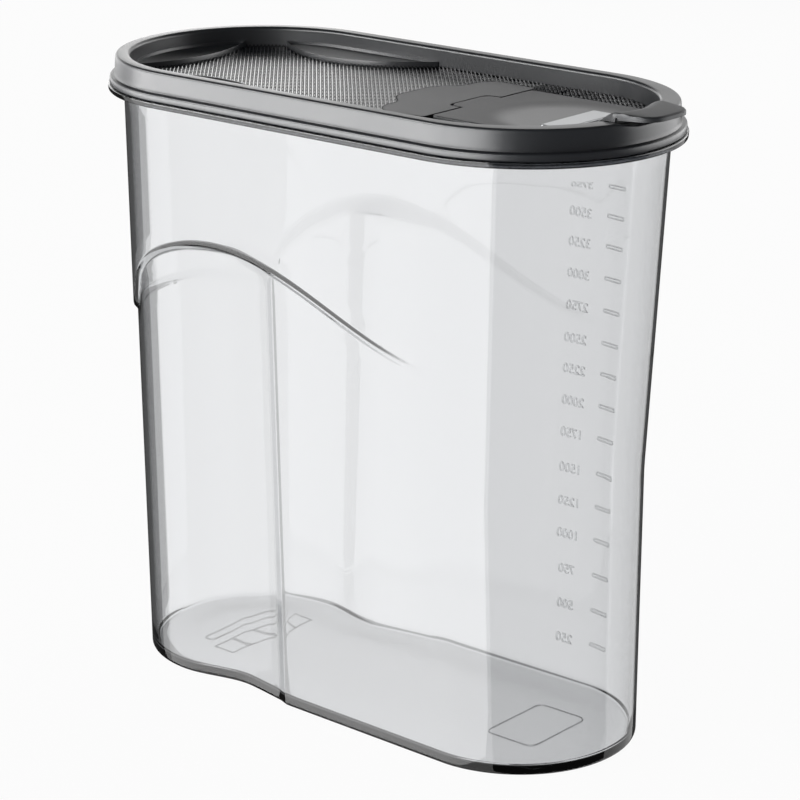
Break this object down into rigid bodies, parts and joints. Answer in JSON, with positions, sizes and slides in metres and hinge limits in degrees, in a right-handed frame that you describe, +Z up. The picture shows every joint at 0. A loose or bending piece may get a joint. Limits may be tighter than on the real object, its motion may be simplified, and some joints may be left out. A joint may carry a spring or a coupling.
{
  "type": "food storage box",
  "caption": "Oblong clear canister for dry food with drafted walls, side grip recesses and a raised scale, closed by a dark lift-off lid with a hinged pouring flap and thumb tab.",
  "frame": {"origin": "middle of the container's base, on the surface it stands on", "axes": "+X along the length towards the pouring end, +Y across the depth towards the side with the scale, +Z up"},
  "size_m": [0.2512, 0.116, 0.2461],
  "materials": {
    "clear_smoke": "clear polished",
    "lid_grey": "satin",
    "flap_grey": "satin",
    "badge_silver": "satin"
  },
  "bodies": {
    "container": {"container": "clear_smoke"},
    "lid": {"lid": "lid_grey"},
    "flap": {"pour_flap": "flap_grey", "flap_badge": "badge_silver"}
  },
  "joints": [
    {"name": "lid_lift", "type": "slide", "parent": "container", "child": "lid", "axis": [0, 0, 1], "range_m": [0, 0.05]},
    {"name": "flap_hinge", "type": "hinge", "parent": "lid", "child": "flap", "pos_m": [0.042, 0, 0.2361], "axis": [0, -1, 0], "range_deg": [0, 105]}
  ]
}
